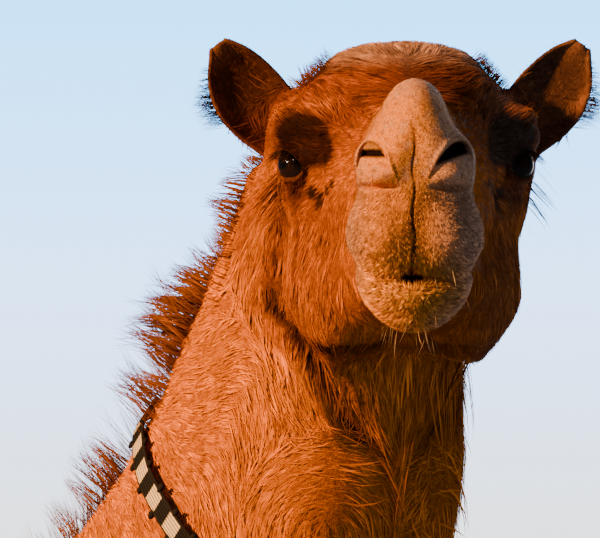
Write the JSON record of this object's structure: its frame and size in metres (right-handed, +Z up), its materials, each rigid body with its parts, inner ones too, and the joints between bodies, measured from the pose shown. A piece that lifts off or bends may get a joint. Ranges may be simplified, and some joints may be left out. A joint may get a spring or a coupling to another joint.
{
  "type": "dromedary camel",
  "caption": "Life-size one-humped camel standing still with its head turned to its right, shaggy chestnut coat, wearing a plain woven neck collar.",
  "frame": {"origin": "centre of the bounding box in plan, on the floor under the feet", "axes": "+Z up, the animal's body faces -Y, its left side is +X, its head is turned toward -X"},
  "size_m": [0.7808, 2.5476, 2.2273],
  "materials": {
    "coat": "chestnut hair",
    "dark_coat": "dark brown hair",
    "eye": "wet gloss",
    "nail": "dull horn",
    "collar": "woven wool"
  },
  "bodies": {
    "root": {"head": "coat", "neck": "coat", "trunk": "coat", "hump": "coat", "tail": "coat", "front_left_forearm": "coat", "front_left_cannon": "coat", "front_left_foot": "coat", "front_right_forearm": "coat", "front_right_cannon": "coat", "front_right_foot": "coat", "hind_left_gaskin": "coat", "hind_left_cannon": "coat", "hind_left_foot": "coat", "hind_right_gaskin": "coat", "hind_right_cannon": "coat", "hind_right_foot": "coat", "tail_tuft": "dark_coat", "ear_left": "dark_coat", "ear_right": "dark_coat", "eye_left": "eye", "eye_right": "eye", "front_left_nail_a": "nail", "front_left_nail_b": "nail", "front_right_nail_a": "nail", "front_right_nail_b": "nail", "hind_left_nail_a": "nail", "hind_left_nail_b": "nail", "hind_right_nail_a": "nail", "hind_right_nail_b": "nail", "collar": "collar"}
  },
  "joints": []
}
